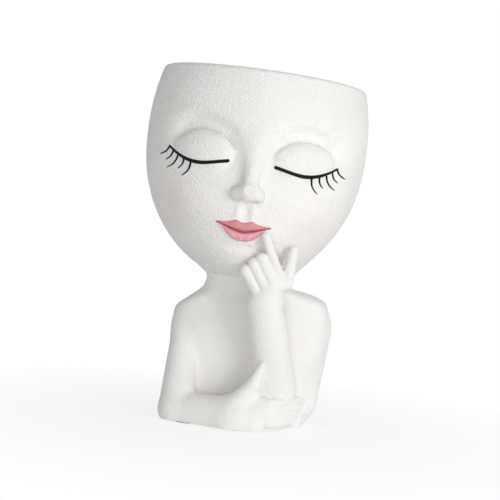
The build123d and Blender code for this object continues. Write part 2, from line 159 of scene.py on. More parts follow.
LEAN, TURN = radians(HEAD_TILT), radians(BODY_TURN)
HEAD = axes((HEAD_X, HEAD_Y, NECK_HEIGHT), (cos(LEAN), 0, -sin(LEAN)), (sin(LEAN), 0, cos(LEAN)))
BODY = axes((BODY_X, BODY_Y, 0), (cos(TURN), sin(TURN), 0), (0, 0, 1))


def to_axes(place, points):
    """Points of the frame in a set of axes."""
    return (points - place[0]) @ place[1].T


def from_axes(place, points):
    """Points in a set of axes, in the frame."""
    return np.asarray(points, float) @ place[1] + place[0]


def ease(share):
    """A share held between 0 and 1 that starts and ends gently."""
    share = np.clip(share, 0.0, 1.0)
    return share * share * (3 - 2 * share)


def blend_min(a, b, room):
    """Union of two fields with a fillet."""
    share = np.clip(0.5 + 0.5 * (b - a) / room, 0.0, 1.0)
    return b + (a - b) * share - room * share * (1 - share)


def blend_max(a, b, room):
    """Overlap of two fields with a rounded edge."""
    return -blend_min(-a, -b, room)


def limb(points, start, finish, start_radius, finish_radius):
    """Field of a tapered limb with round ends."""
    along = finish - start
    share = np.clip((points - start) @ along / (along @ along), 0.0, 1.0)
    apart = np.linalg.norm(points - start - share[:, None] * along, axis=1)
    return apart - (start_radius + (finish_radius - start_radius) * share)


def egg(points, centre, rows, radii):
    """Field of an egg with its own axes and radii."""
    local = (points - centre) @ np.asarray(rows).T
    near = np.linalg.norm(local / radii, axis=1)
    slope = np.linalg.norm(local / np.square(radii), axis=1)
    return near * (near - 1) / np.maximum(slope, 1e-6)


def girth(height, most, powers):
    """Distance from the head's axis to its skin at a height."""
    fall = np.clip((WIDEST - height) / WIDEST, 0.0, 1.0)
    rise = np.clip((height - WIDEST) / (HEAD_HEIGHT - WIDEST), 0.0, 1.2)
    jaw = NECK_RADIUS + (most - NECK_RADIUS) * (1 - fall ** powers[0]) ** (1 / powers[1])
    below = np.minimum(height, 0.0) * NECK_FLARE
    return jaw - RIM_DRAW_IN * rise**2 + below


def ring_field(x, y, half, depth):
    """Field of an upright oval tube."""
    reach = np.hypot(x, y)
    share = np.sqrt((x / half) ** 2 + (y / depth) ** 2)
    return (share - 1) * reach / np.maximum(share, 1e-6)


def plain_head(across, back, height):
    """Field of the head's plain outer form, in the head's axes."""
    half = girth(height, HEAD_HALF, JAW)
    depth = np.where(back < 0, girth(height, HEAD_FRONT, CHIN), girth(height, HEAD_BACK, NAPE))
    slope = girth(height + 0.5, HEAD_HALF, JAW) - girth(height - 0.5, HEAD_HALF, JAW)
    middle = NECK_SHIFT * np.clip(1 - height / WIDEST, 0.0, 1.0) ** NECK_FADE
    field = ring_field(across - middle, back, np.maximum(half, 2.0), np.maximum(depth, 2.0))
    return field / np.sqrt(1 + slope**2)


def face_point(side, height, proud=0.0):
    """A place on the plain face or proud of it, in the head's axes."""
    half = float(girth(np.array(height), HEAD_HALF, JAW))
    front = float(girth(np.array(height), HEAD_FRONT, CHIN))
    depth = front * sqrt(1 - (side / half) ** 2)
    reach = 1 + proud / sqrt(side**2 + depth**2)
    return np.array([side * reach, -depth * reach, height])


def mound(across, height, middle, radii):
    """A soft round bump of height 1 on the face."""
    return np.exp(-(((across - middle[0]) / radii[0]) ** 2) - ((height - middle[1]) / radii[1]) ** 2)


def face_relief(across, height):
    """Low relief of the face: brow hollows, cheeks, philtrum, lip mound and chin."""
    side = np.abs(across)
    oval = np.hypot((side - BROW_MIDDLE[0]) / BROW_RADII[0], (height - BROW_MIDDLE[1]) / BROW_RADII[1])
    outer = ease((side - BROW_OUTER[0]) / BROW_OUTER[1])
    edge = ease((BROW_EDGE[0] - oval) / (BROW_EDGE[1] + BROW_EDGE[2] * outer))
    hollow = BROW_DEPTH * edge * ease((height - BROW_FOOT[0]) / BROW_FOOT[1])
    return sum(proud * mound(side, height, *form) for proud, *form in RELIEF.values()) - hollow


def nose_pieces():
    """Bridge, tip, wings and base of the nose, with its nostrils, in the head's axes."""
    root = face_point(0, NOSE_ROOT_HEIGHT, -5.4)
    bridge = face_point(1.0, NOSE_TIP_HEIGHT + 1.5, NOSE_REACH - 4.6)
    tip = face_point(1.2, NOSE_TIP_HEIGHT, NOSE_REACH - 4.0)
    base = face_point(*NOSE_BASE)
    wings = [(face_point(*place), radii) for place, radii in NOSE_WINGS]
    nostrils = [face_point(side * NOSTRIL_SIDE, NOSTRIL_HEIGHT, NOSTRIL_DEPTH) for side in (-1, 1)]
    return root, bridge, tip, base, wings, nostrils


NOSE = nose_pieces()


def add_nose(points, field):
    """The face with the nose grown out of it."""
    root, bridge, tip, base, wings, nostrils = NOSE
    field = blend_min(field, limb(points, root, bridge, *NOSE_BRIDGE_RADII), 4.5)
    ball = egg(points, tip, np.eye(3), NOSE_TIP_RADII)
    for wing, radii in wings:
        ball = blend_min(ball, egg(points, wing, np.eye(3), radii), 5.5)
    ball = blend_min(ball, egg(points, base, np.eye(3), NOSE_BASE_RADII), 2.0)
    field = blend_min(field, ball, 1.8)
    for nostril in nostrils:
        field = blend_max(field, -egg(points, nostril, np.eye(3), NOSTRIL_RADII), 0.8)
    return field


def lid_place(side):
    """Centre and axes of a closed eyelid, in the head's axes."""
    centre = face_point(side * EYE_SPREAD, EYE_HEIGHT, -LID_SINK)
    step = face_point(side * (EYE_SPREAD + 1), EYE_HEIGHT) - face_point(side * (EYE_SPREAD - 1), EYE_HEIGHT)
    step[2] = np.linalg.norm(step) * sin(radians(LID_SLOPE))
    across = step / np.linalg.norm(step)
    up = np.array([0.0, 0.0, 1.0]) - across * across[2]
    up /= np.linalg.norm(up)
    return centre, np.array([across, up, np.cross(across, up)])


LIDS = [lid_place(side) for side in (-1, 1)]


def torso(points):
    """Field of the torso, which closes in to the neck."""
    x, y, z = to_axes(BODY, points).T
    neck = to_axes(BODY, from_axes(HEAD, (NECK_SHIFT, 0, 0)))
    reach = np.abs(x) * SHOULDER_SLANT[0] + z * SHOULDER_SLANT[1] - np.where(x < 0, *SHOULDER_REACH)
    height = z
    for _ in range(2):
        up = ease(height / SHOULDER_HEIGHT)
        slope = ease((height - SLOPE_START) / (NECK_BASE - SLOPE_START))
        tilt = -SHOULDER_TILT * up + (HEAD_TILT + SHOULDER_TILT) * slope**NECK_TURN_POWER
        height = z + x * np.sin(np.radians(tilt))
    half = BASE_HALF + (SHOULDER_HALF - BASE_HALF) * up
    front = BASE_FRONT + (SHOULDER_FRONT - BASE_FRONT) * up
    back = BASE_BACK + (SHOULDER_BACK - BASE_BACK) * up
    half, front, back = (most + (NECK_RADIUS - most) * slope for most in (half, front, back))
    power = SQUARENESS + (2 - SQUARENESS) * slope
    x = x - SHOULDER_SHIFT * up * (1 - slope) - neck[0] * slope
    y = y - neck[1] * slope
    depth = np.where(y > 0, back, front)
    share = ((np.abs(x) / half) ** power + (np.abs(y) / depth) ** power) ** (1 / power)
    grade = 1.5 * (SHOULDER_HALF - NECK_RADIUS) / (NECK_BASE - SLOPE_START) * 4 * slope * (1 - slope)
    field = (share - 1) * np.hypot(x, y) / np.maximum(share, 1e-6) / np.sqrt(1 + grade**2)
    field = blend_max(field, reach, SHOULDER_ROUND)
    return np.maximum(field, to_axes(HEAD, points)[:, 2] - NECK_ROOT)


def face(points):
    """Field of the head's skin with the whole face."""
    local = to_axes(HEAD, points)
    across, back, height = local.T
    field = plain_head(across, back, height) - face_relief(across, height) * ease(-back / 15.0)
    field = add_nose(local, field)
    for centre, rows in LIDS:
        inwards = -np.sign(centre[0]) * ((local - centre) @ rows[0]) / LID_RADII[0]
        lid = egg(local, centre, rows, LID_RADII) + LID_INNER_SINK * ease((inwards - 0.2) / 0.8)
        above = ease(((local - centre) @ rows[1] - 1.0) / 6.0)
        above = above * (1 - ease((inwards - 0.4) / 0.55))
        crease = LID_CREASE[1] * above * np.exp(-(((lid - field) / LID_CREASE[2]) ** 2))
        field = blend_min(field, lid, LID_CREASE[0] + LID_SOFT_END * (1 - above)) + crease
    return field


def skin(points):
    """Field of the head and neck as one form, with the widest fillet under the chin."""
    front = ease(-to_axes(HEAD, points)[:, 1] / 20.0)
    return blend_min(face(points), torso(points), NECK_BLEND + CHIN_BLEND * front)


def cavity(points):
    """Field of the planting cavity."""
    across, back, height = to_axes(HEAD, points).T
    fall = np.clip((WIDEST - height) / (WIDEST - CAVITY_FLOOR), 0.0, 1.0)
    rise = np.clip((height - WIDEST) / (HEAD_HEIGHT - WIDEST), 0.0, 1.2)
    spread = (1 - fall ** CAVITY[0]) ** (1 / CAVITY[1])

    def half(most):
        open_half = most - WALL
        return CAVITY_FLOOR_RADIUS + (open_half - CAVITY_FLOOR_RADIUS) * spread - RIM_DRAW_IN * rise**2

    wall = ring_field(across, back, half(HEAD_HALF), half(HEAD_FRONT))
    return blend_max(wall, CAVITY_FLOOR - height, RIM_ROUND)


def head_drain(points):
    """Field of the drain through the head's floor."""
    across, back, height = to_axes(HEAD, points).T
    return np.maximum(np.hypot(across - NECK_SHIFT, back) - DRAIN_RADIUS, height - CAVITY_FLOOR - WALL)


def bowl(points):
    """Field of the hollow head."""
    height = to_axes(HEAD, points)[:, 2]
    solid = blend_max(skin(points), height - HEAD_HEIGHT, RIM_ROUND)
    return blend_max(solid, -cavity(points), RIM_ROUND)


def over_seat(points):
    """Distance above the plane where the head sits on the neck."""
    return to_axes(HEAD, points)[:, 2]


def body_limb(points, start, finish, radii):
    """A limb given in the bust's axes."""
    return limb(points, from_axes(BODY, start), from_axes(BODY, finish), *radii)


def body_chain(points, joints, radii):
    """Limbs from joint to joint, given in the bust's axes."""
    bones = [body_limb(points, *joints[i:i + 2], radii[i:i + 2]) for i in range(len(radii) - 1)]
    return np.min(bones, axis=0)


def head_limb(points, start, finish, radii):
    """A limb given in the head's axes."""
    return limb(points, from_axes(HEAD, start), from_axes(HEAD, finish), *radii)


def trunk(points):
    """Field of torso, neck and upper arms."""
    field = blend_min(skin(points), body_limb(points, RIGHT_SHOULDER, RIGHT_ELBOW, RIGHT_ARM_RADII), 4.0)
    field = blend_min(field, body_limb(points, LEFT_SHOULDER, LEFT_ELBOW, LEFT_ARM_RADII), 3.0)
    foot_radii = (LEFT_ARM_RADII[1] - 0.5, LEFT_ELBOW_FOOT_RADIUS)
    return blend_min(field, body_limb(points, LEFT_ELBOW, LEFT_ELBOW_FOOT, foot_radii), 1.5)


def folded(points):
    """Field of the folded forearm and its hand."""
    field = body_limb(points, RIGHT_ELBOW, FOLDED_WRIST, (FOREARM_RADIUS, FOLDED_WRIST_RADIUS))
    field = blend_min(field, body_limb(points, *FOLDED_BACK, FOLDED_BACK_RADII), 4.0)
    field = blend_min(field, body_chain(points, FOLDED_HEEL, FOLDED_HEEL_RADII), 3.0)
    field = blend_min(field, body_limb(points, *FOLDED_WEB, FOLDED_WEB_RADII), 3.0)
    field = blend_min(field, body_chain(points, FOLDED_THUMB, FOLDED_THUMB_RADII), 3.0)
    for end, height in zip(FOLDED_FINGER_TIPS, FOLDED_FINGER_HEIGHTS):
        joints = [(*place, height) for place in (*FOLDED_FINGER, end)]
        field = blend_min(field, body_chain(points, joints, FOLDED_FINGER_RADII), 0.6)
    return field


def raised(points):
    """Field of the raised forearm and its hand."""
    elbow, wrist = from_axes(BODY, RAISED_ELBOW), from_axes(HEAD, RAISED_WRIST)
    field = limb(points, elbow, wrist, RAISED_ELBOW_RADIUS, RAISED_WRIST_RADIUS)
    field = blend_min(field, head_limb(points, RAISED_WRIST, RAISED_PALM, (RAISED_PALM_RADIUS,) * 2), 6.0)
    field = blend_min(field, head_limb(points, *RAISED_THUMB, RAISED_THUMB_RADII), 3.0)
    for root, bend in CURLED:
        fold = tuple(place + drop for place, drop in zip(bend, CURL_DROP))
        finger = head_limb(points, root, bend, CURLED_RADII[:2])
        finger = blend_min(finger, head_limb(points, bend, fold, CURLED_RADII[2:]), 1.0)
        field = blend_min(field, finger, 0.9)
    return blend_min(field, head_limb(points, *INDEX, INDEX_RADII), 1.2)


def figure(points):
    """Field of the whole bust with both forearms grown together."""
    x, _, z = to_axes(BODY, points).T
    field = blend_min(trunk(points), raised(points), np.interp(z, (35.0, 75.0), (4.0, 1.5)))
    room = np.interp(x, (-26.0, -16.0, 6.0, 26.0, 36.0), (2.5, 5.0, 4.0, 2.2, 1.0))
    return blend_min(field, folded(points), np.minimum(room, np.interp(z, (20.0, 27.0), (5.0, 1.3))))


def under_foot(points):
    """Distance below the casting's flat underside."""
    return FOOT_HEIGHT - points[:, 2]


def not_bust(points):
    """Positive where a forearm is nearer than the bust."""
    return (trunk(points) - np.minimum(folded(points), raised(points))) / 2


def not_raised(points):
    """Positive where another piece is nearer than the raised forearm."""
    return (raised(points) - np.minimum(folded(points), trunk(points))) / 2


def not_folded(points):
    """Positive where another piece is nearer than the folded forearm."""
    return (folded(points) - np.minimum(raised(points), trunk(points))) / 2


def in_bust_drain(points):
    """Positive inside the drain that runs down through the bust."""
    mouth = from_axes(HEAD, (NECK_SHIFT, 0, 0))
    return DRAIN_RADIUS - np.hypot(points[:, 0] - mouth[0], points[:, 1] - mouth[1])


def in_face(points):
    """Positive inside the head, a little below its skin."""
    return -face(points) - 0.5


def strongest(fields, points, batch=300000):
    """Largest of several fields at many points."""
    found = np.empty(len(points))
    for start in range(0, len(points), batch):
        some = points[start:start + batch]
        found[start:start + batch] = np.max([field(some) for field in fields], axis=0)
    return found


def sampled(fields, low, counts, cell):
    """Field values on a grid, exact near the surface and only rough elsewhere."""
    blocks = -(-counts // BLOCK)
    middles = np.stack(np.meshgrid(*[np.arange(n) for n in blocks], indexing="ij"), -1).reshape(-1, 3)
    rough = strongest(fields, low + (middles * BLOCK + BLOCK / 2) * cell)
    near = (np.abs(rough) < 2.6 * BLOCK * cell).reshape(blocks)
    picks = np.ix_(*[np.arange(n) // BLOCK for n in counts])
    values = rough.reshape(blocks)[picks].copy()
    places = np.argwhere(near[picks])
    values[tuple(places.T)] = strongest(fields, low + places * cell)
    return values


def net(values, low, cell):
    """Quads and corner points of the surface where the sampled field changes sign."""
    inside = values < 0
    shifts = [(i, j, k) for i in (0, 1) for j in (0, 1) for k in (0, 1)]
    size = np.array(values.shape) - 1
    corner = [tuple(slice(s, s + n) for s, n in zip(shift, size)) for shift in shifts]
    count = np.sum([inside[c] for c in corner], axis=0)
    cells = np.argwhere((count > 0) & (count < 8))
    number = np.full(size, -1)
    number[tuple(cells.T)] = np.arange(len(cells))
    held = np.stack([values[tuple((cells + shift).T)] for shift in shifts])
    total, hits = np.zeros((len(cells), 3)), np.zeros(len(cells))
    for a in range(8):
        for b in range(a + 1, 8):
            if sum(abs(p - q) for p, q in zip(shifts[a], shifts[b])) == 1:
                crossed = (held[a] < 0) != (held[b] < 0)
                share = np.where(crossed, held[a] / np.where(crossed, held[a] - held[b], 1.0), 0.0)
                place = np.array(shifts[a]) + share[:, None] * (np.array(shifts[b]) - shifts[a])
                total += place * crossed[:, None]
                hits += crossed
    points = low + (cells + total / hits[:, None]) * cell
    return points, net_quads(inside, number)


def net_quads(inside, number):
    """Quads round each grid edge that crosses the surface, facing outwards."""
    quads = []
    for axis in range(3):
        one, two = (axis + 1) % 3, (axis + 2) % 3
        step = np.eye(3, dtype=int)
        start = inside.take(range(inside.shape[axis] - 1), axis)
        finish = inside.take(range(1, inside.shape[axis]), axis)
        edges = np.argwhere(start != finish)
        edges = edges[(edges[:, one] > 0) & (edges[:, two] > 0)]
        edges = edges[(edges[:, one] < number.shape[one]) & (edges[:, two] < number.shape[two])]
        around = [edges, edges - step[one], edges - step[one] - step[two], edges - step[two]]
        quad = np.stack([number[tuple(cell.T)] for cell in around], axis=1)
        out = start[tuple(edges.T)]
        quads.append(np.where(out[:, None], quad, quad[:, ::-1]))
    quads = np.concatenate(quads)
    return quads[(quads >= 0).all(axis=1)]


def slopes(field, points, reach=0.02):
    """Field values and gradients at points."""
    here = field(points)
    ahead = [(field(points + reach * side) - here) / reach for side in np.eye(3)]
    return here, np.stack(ahead, axis=1)


def settle(points, fields, cell):
    """Points moved on to the exact surface, and on to the edge where two fields meet."""
    for _ in range(3):
        values, ways = zip(*[slopes(field, points) for field in fields])
        values, ways = np.stack(values, 1), np.stack(ways, 1)
        order = np.argsort(-values, axis=1)
        rows = np.arange(len(points))
        lead, value = ways[rows, order[:, 0]], values[rows, order[:, 0]]
        length = np.maximum((lead**2).sum(1), 1e-4)
        move = -lead * (value / length)[:, None]
        if len(fields) > 1:
            other, rest = ways[rows, order[:, 1]], values[rows, order[:, 1]]
            cross, width = (lead * other).sum(1), np.maximum((other**2).sum(1), 1e-4)
            spare = length * width - cross**2
            edge = (rest > -0.7 * cell) & (spare > 0.05 * length * width)
            spare = np.where(edge, spare, 1.0)
            one = (-value * width + rest * cross) / spare
            two = (-rest * length + value * cross) / spare
            both = lead * one[:, None] + other * two[:, None]
            move = np.where(edge[:, None], both, move)
        reach = np.linalg.norm(move, axis=1)
        points = points + move * np.minimum(1.0, cell / np.maximum(reach, 1e-6))[:, None]
    return points


def cast(node, fields, cell):
    """Points and quads of a cast piece, in the room of its CAD node."""
    low, high = (np.array(corner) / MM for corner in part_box(node))
    low, high = low - SPARE, high + SPARE
    counts = np.ceil((high - low) / cell).astype(int) + 1
    points, quads = net(sampled(fields, low, counts, cell), low, cell)
    points = settle(points, fields, cell)
    box_low, box_high = np.array(cad_box) / MM
    return np.clip(points, box_low, box_high), quads.tolist()


def piece(name, points, faces, node, slot, material, sharp=38.0):
    """A mesh that stands for a CAD node on the planter's body."""
    mesh = bpy.data.meshes.new(name)
    mesh.from_pydata((points * MM).tolist(), [], faces)
    mesh.update()
    mesh.shade_smooth()
    mesh.set_sharp_from_angle(angle=radians(sharp))
    mesh.materials.append(material)
    made = bpy.data.objects.new(name, mesh)
    bpy.context.scene.collection.objects.link(made)
    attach(made, "planter")
    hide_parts(node)
    return made


def mark(made, name, values):
    """A number for each point of a mesh, for its material."""
    layer = made.data.attributes.new(name, "FLOAT", "POINT")
    layer.data.foreach_set("value", np.asarray(values, np.float32))


class Nodes:
    """A material's node tree, with short ways to add nodes and link them."""

    def __init__(self, name):
        self.material = bpy.data.materials.new(name)
        self.material.use_nodes = True
        self.tree = self.material.node_tree
        self.shader = self.tree.nodes["Principled BSDF"]

    def add(self, kind, links=None, **values):
        node = self.tree.nodes.new(kind)
        for key, value in values.items():
            setattr(node, key, value)
        for socket, source in (links or {}).items():
            if isinstance(source, bpy.types.NodeSocket):
                self.tree.links.new(source, node.inputs[socket])
            else:
                node.inputs[socket].default_value = source
        return node

    def noise(self, scale, detail=2.0, stretch=None):
        """Noise in the object's own metres, about 1 / scale across."""
        place = self.add("ShaderNodeTexCoord").outputs["Object"]
        if stretch:
            place = self.add("ShaderNodeMapping", {"Vector": place, "Scale": stretch}).outputs["Vector"]
        links = {"Vector": place, "Scale": scale, "Detail": detail}
        return self.add("ShaderNodeTexNoise", links).outputs["Fac"]

    def ramp(self, source, start, finish, low, high):
        """A source stretched from one range to another and held there."""
        links = {"Value": source, "From Min": start, "From Max": finish, "To Min": low, "To Max": high}
        return self.add("ShaderNodeMapRange", links).outputs["Result"]

    def mix(self, share, one, two):
        """Two colours mixed by a share."""
        node = self.add("ShaderNodeMix", data_type="RGBA")
        for socket, source in ((node.inputs[0], share), (node.inputs[6], one), (node.inputs[7], two)):
            if isinstance(source, bpy.types.NodeSocket):
                self.tree.links.new(source, socket)
            else:
                socket.default_value = source
        return node.outputs[2]

    def attribute(self, name):
        return self.add("ShaderNodeAttribute", attribute_name=name).outputs["Fac"]

    def bump(self, source, distance, strength=1.0, before=None):
        links = {"Height": source, "Distance": distance, "Strength": strength}
        if before:
            links["Normal"] = before
        return self.add("ShaderNodeBump", links).outputs["Normal"]

    def wear(self, colour=None, roughness=None, normal=None, **plain):
        """Links to the shader, and plain values on its own sockets."""
        for socket, source in (("Base Color", colour), ("Roughness", roughness), ("Normal", normal)):
            if source is not None:
                self.tree.links.new(source, self.shader.inputs[socket])
        for socket, value in plain.items():
            self.shader.inputs[socket.replace("_", " ")].default_value = value
        return self.material


def plaster():
    """Matt cast plaster: faint mottling, a stippled skin, and blush where a mesh has it."""
    nodes = Nodes("plaster")
    mottle = nodes.ramp(nodes.noise(38.0, 4.0), 0.35, 0.7, 0.0, 1.0)
    speck = nodes.ramp(nodes.noise(900.0, 2.0), 0.62, 0.75, 0.0, 0.35)
    colour = nodes.mix(mottle, (0.83, 0.815, 0.79, 1), (0.875, 0.865, 0.85, 1))
    colour = nodes.mix(speck, colour, (0.76, 0.745, 0.72, 1))
    colour = nodes.mix(nodes.attribute("blush"), colour, (0.82, 0.53, 0.50, 1))
    roughness = nodes.ramp(nodes.noise(260.0, 3.0), 0.3, 0.7, 0.72, 0.9)
    depth = nodes.ramp(nodes.attribute("stipple"), 0.0, 1.0, 0.5, 1.0)
    broad = nodes.bump(nodes.noise(240.0, 2.0), 0.00025, depth)
    stipple = nodes.bump(nodes.noise(720.0, 2.0), 0.0007, depth, broad)
    return nodes.wear(colour, roughness, stipple, Specular_IOR_Level=0.35)


def lip_paint():
    """Pink paint, darker along the rim, with painted shade on the upper lip, along the mouth line and at the
    corners, and a painted highlight in pale streaks on the lower lip.
    """
    nodes = Nodes("lip_paint")
    down, across = nodes.attribute("down"), nodes.attribute("across")
    # Painted highlight: pale streaks on the lower lip, strongest across its middle and fading towards its
    # edges.
    highlight_streaks = nodes.ramp(nodes.noise(300.0, 3.0, stretch=(3.2, 1.0, 0.25)), 0.5, 0.68, 0.0, 1.0)
    lower = nodes.ramp(down, 0.1, 0.55, 0.0, 1.0)
    crown = nodes.ramp(down, 0.95, 0.6, 0.0, 1.0)
    painted_highlight = nodes.add("ShaderNodeMath", {0: highlight_streaks, 1: lower}, operation="MULTIPLY").outputs[0]
    painted_highlight = nodes.add("ShaderNodeMath", {0: painted_highlight, 1: crown}, operation="MULTIPLY").outputs[0]
    middle = nodes.ramp(across, 0.75, 0.2, 0.0, 0.75)
    painted_highlight = nodes.add("ShaderNodeMath", {0: painted_highlight, 1: middle}, operation="MULTIPLY").outputs[0]
    # Painted shade: the upper lip is coloured darker than the lower lip.
    colour = nodes.mix(nodes.ramp(down, -0.2, 0.3, 0.0, 1.0), (0.66, 0.25, 0.28, 1), (0.82, 0.33, 0.40, 1))
    colour = nodes.mix(painted_highlight, colour, (0.96, 0.72, 0.74, 1))
    apart = nodes.add("ShaderNodeMath", {0: down}, operation="ABSOLUTE").outputs[0]
    # Painted shade: near-black along the mouth line, in the groove where the lips part.
    colour = nodes.mix(nodes.ramp(apart, 0.2, 0.02, 0.0, 0.95), colour, (0.24, 0.04, 0.05, 1))
    colour = nodes.mix(nodes.ramp(apart, 0.86, 1.0, 0.0, 0.45), colour, (0.50, 0.15, 0.18, 1))
    # Painted shade: darker towards the corners of the mouth, where the lips tuck in.
    colour = nodes.mix(nodes.ramp(across, 0.8, 1.0, 0.0, 0.7), colour, (0.32, 0.08, 0.09, 1))
    roughness = nodes.ramp(nodes.noise(500.0, 2.0), 0.3, 0.7, 0.4, 0.58)
    normal = nodes.bump(nodes.noise(420.0, 3.0, stretch=(2.5, 1.0, 0.35)), 0.00022)
    return nodes.wear(colour, roughness, normal, Specular_IOR_Level=0.4)


def lash_paint():
    """Black satin paint laid by brush."""
    nodes = Nodes("lash_paint")
    colour = nodes.mix(nodes.noise(700.0, 2.0), (0.004, 0.004, 0.004, 1), (0.010, 0.010, 0.010, 1))
    roughness = nodes.ramp(nodes.noise(500.0, 2.0), 0.3, 0.7, 0.5, 0.65)
    return nodes.wear(colour, roughness, nodes.bump(nodes.noise(800.0, 2.0), 0.0001), Specular_IOR_Level=0.12)


def silicone():
    """Milky grey silicone with a fine mould texture."""
    nodes = Nodes("silicone")
    colour = nodes.mix(nodes.noise(120.0, 3.0), (0.60, 0.59, 0.57, 1), (0.68, 0.67, 0.65, 1))
    roughness = nodes.ramp(nodes.noise(400.0, 2.0), 0.3, 0.7, 0.45, 0.6)
    return nodes.wear(colour, roughness, nodes.bump(nodes.noise(1500.0, 2.0), 0.00008))


def pad_rubber():
    """Pale foam rubber with open pores."""
    nodes = Nodes("pad_rubber")
    pores = nodes.noise(1400.0, 3.0)
    colour = nodes.mix(pores, (0.42, 0.41, 0.39, 1), (0.55, 0.54, 0.52, 1))
    return nodes.wear(colour, nodes.ramp(pores, 0.3, 0.7, 0.7, 0.95), nodes.bump(pores, 0.00025))


def smooth_curve(xs, ys, wanted):
    """A natural cubic curve through a few points."""
    xs, ys = np.array(xs, float), np.array(ys, float)
    gap, rise = np.diff(xs), np.diff(ys) / np.diff(xs)
    system, right = np.eye(len(xs)), np.zeros(len(xs))
    for i in range(1, len(xs) - 1):
        system[i, i - 1:i + 2] = gap[i - 1], 2 * (gap[i - 1] + gap[i]), gap[i]
        right[i] = 6 * (rise[i] - rise[i - 1])
    bend = np.linalg.solve(system, right)
    i = np.clip(np.searchsorted(xs, wanted) - 1, 0, len(xs) - 2)
    t, rest = wanted - xs[i], xs[i + 1] - wanted
    before = (ys[i] / gap[i] - bend[i] * gap[i] / 6) * rest
    after = (ys[i + 1] / gap[i] - bend[i + 1] * gap[i] / 6) * t
    return before + after + (bend[i] * rest**3 + bend[i + 1] * t**3) / (6 * gap[i])


def on_skin(across, height):
    """Points of the face straight behind places seen from the front, and the outward normals there."""
    points = from_axes(HEAD, np.stack([across, np.full(len(across), -85.0), height], axis=1))
    inwards = HEAD[1][1]
    for _ in range(60):
        points = points + inwards * (0.6 * face(points))[:, None]
    _, normals = slopes(face, points)
    return points, normals / np.linalg.norm(normals, axis=1)[:, None]


def make_lips(material):
    """Both lips as one closed form, full in the middle and drawn out to the corners."""
    columns, rows = 121, 41
    across = np.linspace(-1, 1, columns)
    side = np.abs(across)
    top = smooth_curve((0, 0.14, 0.27, 0.45, 0.72, 1), (31.5, 31.9, 32.6, 31.7, 30.9, 30.7), side)
    parting = smooth_curve((0, 0.2, 0.45, 0.75, 1), (26.6, 27.1, 28.1, 29.5, 30.4), side)
    bottom = smooth_curve((0, 0.3, 0.52, 0.76, 1), (21.2, 21.7, 24.1, 28.2, 30.1), side)
    down = np.linspace(-1, 1, rows)
    height = np.where(down[:, None] < 0, parting - down[:, None] * (top - parting),
                      parting - down[:, None] * (parting - bottom))
    spots = np.stack([np.broadcast_to(across * MOUTH_HALF, height.shape), height], -1).reshape(-1, 2)
    points, normals = on_skin(spots[:, 0], spots[:, 1])
    apart = np.abs(down)[:, None]
    full = np.where(down[:, None] < 0, 1.3, 2.0) * (1 - side**2) ** 0.7
    lift = full * np.sin(pi * np.clip(apart, 0.0, 1.0) ** 0.8) ** 0.75 - 0.35 * np.exp(-((apart / 0.12) ** 2))
    edge = np.minimum(1.0, (1 - apart) / 0.05) * np.minimum(1.0, (1 - side) / 0.03)
    lift = lift + 0.22 * edge
    front = points + normals * lift.reshape(-1, 1)
    back = points - normals * 0.5
    grid = np.arange(rows * columns).reshape(rows, columns)
    quads = np.stack([grid[:-1, :-1], grid[1:, :-1], grid[1:, 1:], grid[:-1, 1:]], -1).reshape(-1, 4)
    behind = quads[:, ::-1] + rows * columns
    border = np.concatenate([grid[0, ::-1], grid[1:, 0], grid[-1, 1:], grid[-2:0:-1, -1]])
    after = np.roll(border, -1)
    skirt = np.stack([after, border, border + rows * columns, after + rows * columns], -1)
    faces = np.concatenate([quads, behind, skirt]).tolist()
    made = piece("lips_paint", np.concatenate([front, back]), faces, "lips", "lip_paint", material, 60.0)
    mark(made, "down", np.tile(np.repeat(down, columns), 2))
    mark(made, "across", np.tile(np.tile(side, rows), 2))


def stroke(places, widths, lift):
    """Points and faces of a brush stroke on the skin, flat-topped and closed at both ends."""
    places, widths = np.asarray(places, float), np.asarray(widths, float)
    points, normals = on_skin(places[:, 0], places[:, 1])
    ahead = np.gradient(points, axis=0)
    aside = np.cross(ahead, normals)
    aside /= np.linalg.norm(aside, axis=1)[:, None]
    turns = 2 * pi * np.arange(12) / 12
    ring = points[:, None] + aside[:, None] * (np.cos(turns)[:, None] * widths[:, None, None] / 2)
    ring = ring + normals[:, None] * (np.sin(turns)[:, None] * np.minimum(lift, widths / 2)[:, None, None])
    count = len(places)
    grid = np.arange(count * 12).reshape(count, 12)
    turned = np.roll(grid, -1, axis=1)
    quads = np.stack([grid[:-1], turned[:-1], turned[1:], grid[1:]], -1).reshape(-1, 4)
    ends = [list(grid[0][::-1]), list(grid[-1])]
    return ring.reshape(-1, 3), quads.tolist() + ends


def round_ends(share, width, start, finish):
    """Stroke widths that close in a half circle towards each end."""
    near = np.minimum(share / start, (1 - share) / finish)
    return width * np.sqrt(np.clip(1 - (1 - np.clip(near, 0.02, 1.0)) ** 2, 0.02, 1.0))


def make_lashes(name, node, side, material):
    """A lid line and its five lashes, swept by brush."""
    share = np.linspace(0, 1, 60)
    line = np.array(LASH_LINE)
    stops = np.linspace(0, 1, len(line))
    across, height = (smooth_curve(stops, line[:, i], share) for i in (0, 1))
    widths = round_ends(share, smooth_curve(stops, LASH_LINE_WIDTHS, share), 0.02, 0.04)
    strokes = [stroke(np.stack([side * across, height], 1), widths, 0.55)]
    share = np.linspace(0, 1, 18)
    for root, tip in zip(np.array(LASH_ROOTS), np.array(LASH_TIPS)):
        along = tip - root
        bow = np.array([-along[1], along[0]]) * 0.16 * LASH_SWEEP
        places = root + share[:, None] * along - np.sin(pi * share)[:, None] * bow
        widths = LASH_WIDTH * round_ends(share, 1.0 - 0.62 * share, 0.05, 0.12)
        strokes.append(stroke(places * (side, 1), widths, 0.45))
    points, faces, first = [], [], 0
    for some, shapes in strokes:
        points.append(some)
        faces += [[corner + first for corner in shape] for shape in shapes]
        first += len(some)
    faces = faces if side < 0 else [shape[::-1] for shape in faces]
    piece(name, np.concatenate(points), faces, node, "lash_paint", material, 180.0)


